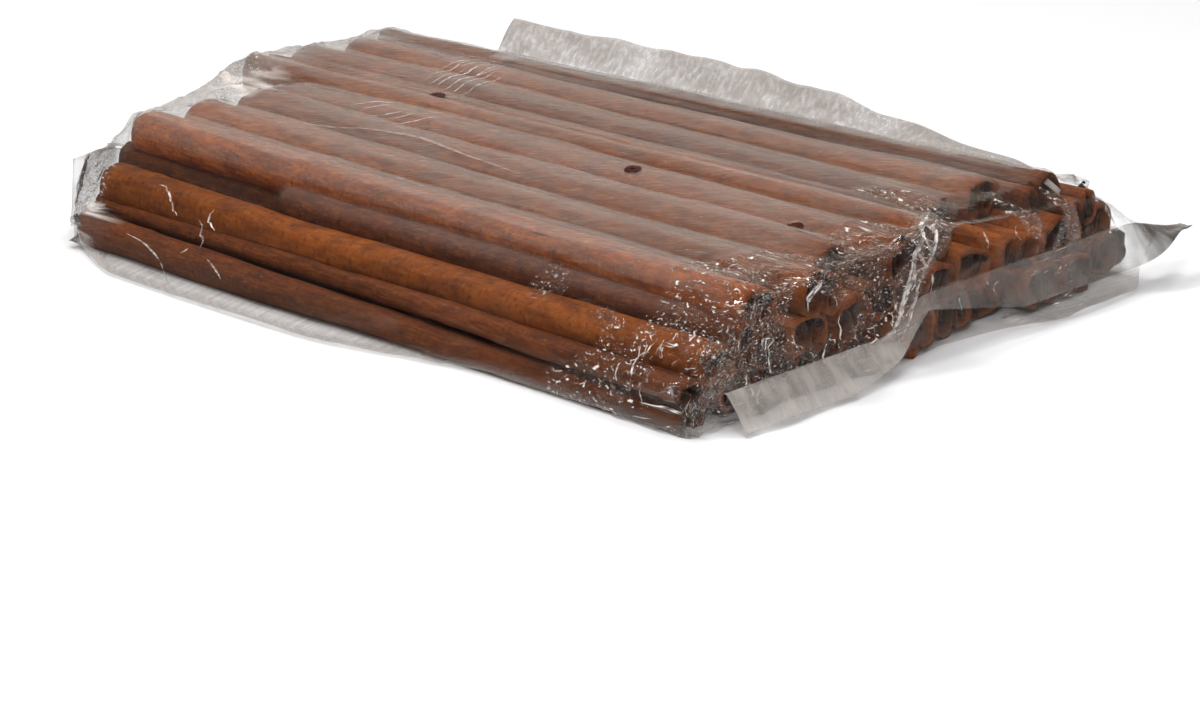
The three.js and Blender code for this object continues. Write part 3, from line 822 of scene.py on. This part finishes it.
# white strips on the creases, partly whitened film and partly painted glints
bm = bmesh.new()
bm.verts.layers.float.new("strength")
for how_white, line in FRONT_LINES:
    add_crease(bm, line, 0.75, how_white)
add_crease(bm, TOP_CREASE, 1.5, 0.14)
for _ in range(FOLD_CREASES):
    shift, start, length = draw(-2.6, 2.6), draw(0, 0.75), draw(0.15, 0.4)
    beside = [(px + 0.6 * shift, py + shift, pz) for px, py, pz in NEAR_FOLD[2:]]
    first, last = int(FOLD_STEPS * start), int(FOLD_STEPS * min(start + length, 1)) + 2
    add_crease(bm, evenly(beside, FOLD_STEPS)[first:last], draw(0.5, 1.3), draw(0.3, 1))
for fan_x, fan_y, count, step, run, how_white in FANS:
    for index in range(count):
        first = (fan_x + step[0] * index + draw(-1, 1), fan_y + step[1] * index + draw(-3, 3), 40)
        reach = draw(0.7, 1.3)
        last = (first[0] + run[0] * reach, first[1] + run[1] * reach, 40)
        add_crease(bm, [first, last], 0.55, how_white * draw(0.5, 1.5))
for _ in range(CORNER_CREASES):
    share, low = draw(0, 1), draw(3, 28)
    line = [(lerp(104, 147, share) + draw(-1, 1), lerp(-103, -72, share) + draw(-1, 1),
             low + tall) for tall in (0, 3, draw(4, 9))]
    add_crease(bm, line, draw(0.5, 0.9), draw(0.6, 1))
for _ in range(END_CREASES):
    end_y, low = draw(-60, 52), draw(8, 32)
    line = [(148 + draw(-1, 1), end_y + draw(-1.5, 1.5), low + tall) for tall in (0, 2, draw(3, 7))]
    add_crease(bm, line, draw(0.5, 0.9), draw(0.5, 1))
finish_piece("film_crease_glints", bm, crease_glint_film, "clear_film", 0.08, 0)

# The holes are punched with a hot pin, which leaves a rim of melted film. Here the rim is a thick,
# uneven, dark brown ring: painted shade that darkens each hole and its edge.
vent_shade_film, tree = new_material("melted film with painted vent shade")
places = add_node(tree, "ShaderNodeTexCoord").outputs["Object"]
patchy = add_node(tree, "ShaderNodeTexNoise", {"Vector": places, "Scale": 1 / (1.5 * MM)}).outputs["Fac"]
opacity = add_node(tree, "ShaderNodeMapRange", {
    "Value": patchy, "From Min": 0.35, "From Max": 0.6, "To Min": 0.5, "To Max": 1}).outputs[0]
surface = add_node(tree, "ShaderNodeBsdfPrincipled", {
    "Base Color": linear(0x42190C), "Roughness": 0.4, "Specular IOR Level": 0.1, "Alpha": opacity})
add_node(tree, "ShaderNodeOutputMaterial", {"Surface": surface.outputs["BSDF"]})

VENT_RIM = 2        # how far the rim reaches in, in mm
# rings of painted vent shade round the holes
bm = bmesh.new()
for centre in VENTS:
    rim = bmesh.ops.create_circle(bm, cap_ends=True, segments=28, radius=VENT * MM)["verts"]
    middle = sheet.find_nearest(Vector((*centre, 41)) * MM)[0]
    for vert in rim:
        vert.co += Vector((*(Vector(centre) * MM), middle.z + 0.05 * MM))
inner = bmesh.ops.inset_region(
    bm, faces=bm.faces[:], thickness=VENT_RIM * MM, use_boundary=True)["faces"]
holes = [face for face in bm.faces if face not in inner]
bmesh.ops.delete(bm, geom=holes, context="FACES")
for vert in bm.verts:
    place, facing, _, _ = sheet.find_nearest(vert.co)
    vert.co = place + facing * 0.1 * MM
finish_piece("vent_shade_rims", bm, vent_shade_film, "clear_film", 0.15, 0)

# ---- the seams' fins and the spare film along the back --------------------------------------
# Past each seam the two films are welded flat into a fin. The far one hangs down. The near one
# folds over where the seam steps up, and ends in a pointed ear. Along the back the spare film
# stands up as a crest.

FIN_WALL = 0.2
SHEET_WIDTH = 14     # of each sheet's film pattern, in mm
# Past y 104 the ear has dense haze with no milk, so it is dull grey: partly its two layers of film,
# partly painted shade.
NEAR_FIN_HAZE = [  # y, haze and milkiness
    (-90, 0.38, 0.7), (-14, 0.38, 0.6), (4, 0.17, 0.32), (92, 0.19, 0.32), (104, 0.8, 0), (121, 0.8, 0)]
FAR_FIN = {"front": -96, "back": 80, "width": 13, "corner_width": 24, "droop": 82}
CREST = {"far": -92, "near": 136, "root": 38.4, "height": 14, "low": 2, "tall_to": 0.42,
         "lean": 40, "lap": 6, "lapped": 0.2, "falls_from": 116, "fall": 6}


def near_fin(along, across):
    y = lerp(FIN["front"], FIN["back"], along)
    from_fold = np.clip(abs(y - NEAR_SEAM["fold_to"]) / FIN["fold_reach"], 0, 1)
    ear = smoothstep(FIN["back"] - FIN["ear_length"], FIN["back"], y)
    width = lerp(lerp(FIN["at_fold"], FIN["width"], from_fold), FIN["ear_tip"], ear) * across
    folded = smoothstep(NEAR_SEAM["fold_from"], NEAR_SEAM["fold_to"], y)
    droop = math.radians(lerp(lerp(FIN["droop_front"], FIN["droop_back"], folded),
                              FIN["droop_ear"], ear))
    wavy = (1.2 * noise.noise(Vector((y / 16, across, 2)))
            + 0.5 * noise.noise(Vector((y / 5, 2 * across, 7)))) * (0.3 + across)
    return (near_seam(y) + width * math.cos(droop) + wavy * math.sin(droop), y,
            seam_height(y) - width * math.sin(droop) + wavy * math.cos(droop))


def far_fin(along, across):
    y = lerp(FAR_FIN["front"], FAR_FIN["back"], along)
    droop = math.radians(FAR_FIN["droop"] + 10 * noise.noise(Vector((y / 25, 1, 4))))
    wavy = (1.1 * noise.noise(Vector((y / 14, across, 12)))
            + 0.4 * noise.noise(Vector((y / 4, across, 9))))
    reach = across * lerp(FAR_FIN["corner_width"], FAR_FIN["width"], smoothstep(-92, -50, y))
    out = reach * math.cos(droop) + wavy * across
    return far_line(y) - out, y, far_seam_height(y) - reach * math.sin(droop)


def crest(along, across):
    x = lerp(CREST["far"], CREST["near"], along)
    height = lerp(CREST["height"], CREST["low"], smoothstep(CREST["tall_to"], 1, along))
    height *= 1 + 0.15 * noise.noise(Vector((x / 18, 0, 6)))
    past = max(0, x - CREST["falls_from"]) / (CREST["near"] - CREST["falls_from"])
    lapped = CREST["lapped"]     # this share of its width lies on the film, the rest stands up
    lap = max(0, lapped - across) / lapped * CREST["lap"] * (1 - 0.7 * along) * (1 - past)
    up = max(0, across - lapped) / (1 - lapped) * height
    lean = math.radians(CREST["lean"])
    wavy = (1.6 * noise.noise(Vector((x / 20, across * 1.5, 3)))
            + 0.8 * noise.noise(Vector((x / 7, across * 3, 5)))) * up / CREST["height"]
    root = spread(x, LAYERS[-1]["back"]) + 1.5
    fall = CREST["fall"] * past ** 2
    return (x, root - lap + up * math.sin(lean) + wavy * math.cos(lean),
            CREST["root"] - fall + up * math.cos(lean) - wavy * math.sin(lean))


for name, place, size, haze, milk, crinkled, kind, node in (
        ("near_fin", near_fin, (150, 14), (0.6, 1.3), 1, 0.42, 3, "near_end_film"),
        ("far_fin", far_fin, (120, 12), (0.1, 0.3), 0.2, 0.42, 3, "far_end_film"),
        ("back_crest", crest, (150, 16), (0.4, 0.8), 0.4, 0.14, 2, "back_film_crest")):
    rows, columns = size
    grid = np.array([[place(row / rows, column / columns) for column in range(columns + 1)]
                     for row in range(rows + 1)])
    ones = np.ones(grid.shape[:2])
    values = {"haze": cloudy(grid, *haze), "milk": milk * ones, "kind": kind * ones,
              "crinkled": crinkled * ones}
    if name == "near_fin":
        at_y, fin_haze, fin_milk = np.array(NEAR_FIN_HAZE).T
        values["haze"] *= np.interp(grid[:, :, 1], at_y, fin_haze)
        values["milk"] *= np.interp(grid[:, :, 1], at_y, fin_milk)
    if name == "back_crest":
        uneven = np.array([0.12 * noise_at((edge[0], 0, 0), (9, 1, 1), 130) for edge in grid[:, 0]])
        values["haze"] *= smoothstep(0.05, 0.4, np.linspace(0, 1, columns + 1) + uneven[:, None])
    length = abs(grid[-1, 0] - grid[0, 0]).max()
    bm = film_grid(grid, values, (length, SHEET_WIDTH))
    finish_piece(name, bm, clear_film, "clear_film", FIN_WALL, 0, node)

# ---- the camera, the light and the floor ---------------------------------------------------

CAMERA = {"azimuth": 41.5, "elevation": 20.1, "distance": 1634, "right": 6.77, "up": -50.92,
          "lens": 150, "height": 20}
azimuth, elevation = math.radians(CAMERA["azimuth"]), math.radians(CAMERA["elevation"])
back = Vector((math.sin(azimuth) * math.cos(elevation),
               -math.cos(azimuth) * math.cos(elevation), math.sin(elevation)))
right = Vector((math.cos(azimuth), math.sin(azimuth), 0))
up = back.cross(right)
camera = bpy.data.objects.new("camera", bpy.data.cameras.new("camera"))
camera.data.lens = CAMERA["lens"]
camera.data.clip_start = 0.05
camera.location = MM * (Vector((0, 0, CAMERA["height"])) + back * CAMERA["distance"]
                        + right * CAMERA["right"] + up * CAMERA["up"])
camera.rotation_mode = "QUATERNION"
camera.rotation_quaternion = (-back).to_track_quat("-Z", "Y")
bpy.context.scene.collection.objects.link(camera)
bpy.context.scene.camera = camera

LAMPS = [  # name, place in mm, side in mm, watts, colour
    ("overhead", (0, 0, 1150), 900, 7, 0xFFFFFF),
    ("key_left", (-350, -250, 1100), 220, 3.8, 0xFFFFFF),
    ("key_right", (550, -550, 1050), 220, 3.2, 0xFFFFFF),
    ("key_back", (100, 350, 1150), 220, 2.8, 0xFFFFFF),
    ("left", (-500, -900, 600), 300, 1.3, 0xFFF6EE),
    ("behind", (-950, 1050, 560), 900, 1.5, 0xF6F0EA),
    ("spark", (800, -450, 800), 80, 0.8, 0xFFFFFF),
]
for name, place, side, watts, tint in LAMPS:
    lamp = bpy.data.objects.new(name, bpy.data.lights.new(name, "AREA"))
    lamp.data.size = side * MM
    lamp.data.energy = watts
    lamp.data.color = linear(tint)[:3]
    lamp.location = Vector(place) * MM
    lamp.rotation_mode = "QUATERNION"
    lamp.rotation_quaternion = (-lamp.location).to_track_quat("-Z", "Y")
    bpy.context.scene.collection.objects.link(lamp)

world = bpy.data.worlds.new("studio")
world.use_nodes = True
world.node_tree.nodes["Background"].inputs["Color"].default_value = linear(0xF4EEE6)
world.node_tree.nodes["Background"].inputs["Strength"].default_value = 0.16
bpy.context.scene.world = world
bpy.context.scene.view_settings.view_transform = "Standard"

paper, tree = new_material("white paper")
surface = add_node(tree, "ShaderNodeBsdfPrincipled", {
    "Base Color": linear(0xF4F5F7), "Roughness": 0.9, "Specular IOR Level": 0.1})
add_node(tree, "ShaderNodeOutputMaterial", {"Surface": surface.outputs["BSDF"]})
bm = bmesh.new()
bmesh.ops.create_grid(bm, x_segments=1, y_segments=1, size=4)
floor_mesh = bpy.data.meshes.new("floor")
bm.to_mesh(floor_mesh)
bm.free()
floor_mesh.materials.append(paper)
floor = bpy.data.objects.new("floor", floor_mesh)
bpy.context.scene.collection.objects.link(floor)
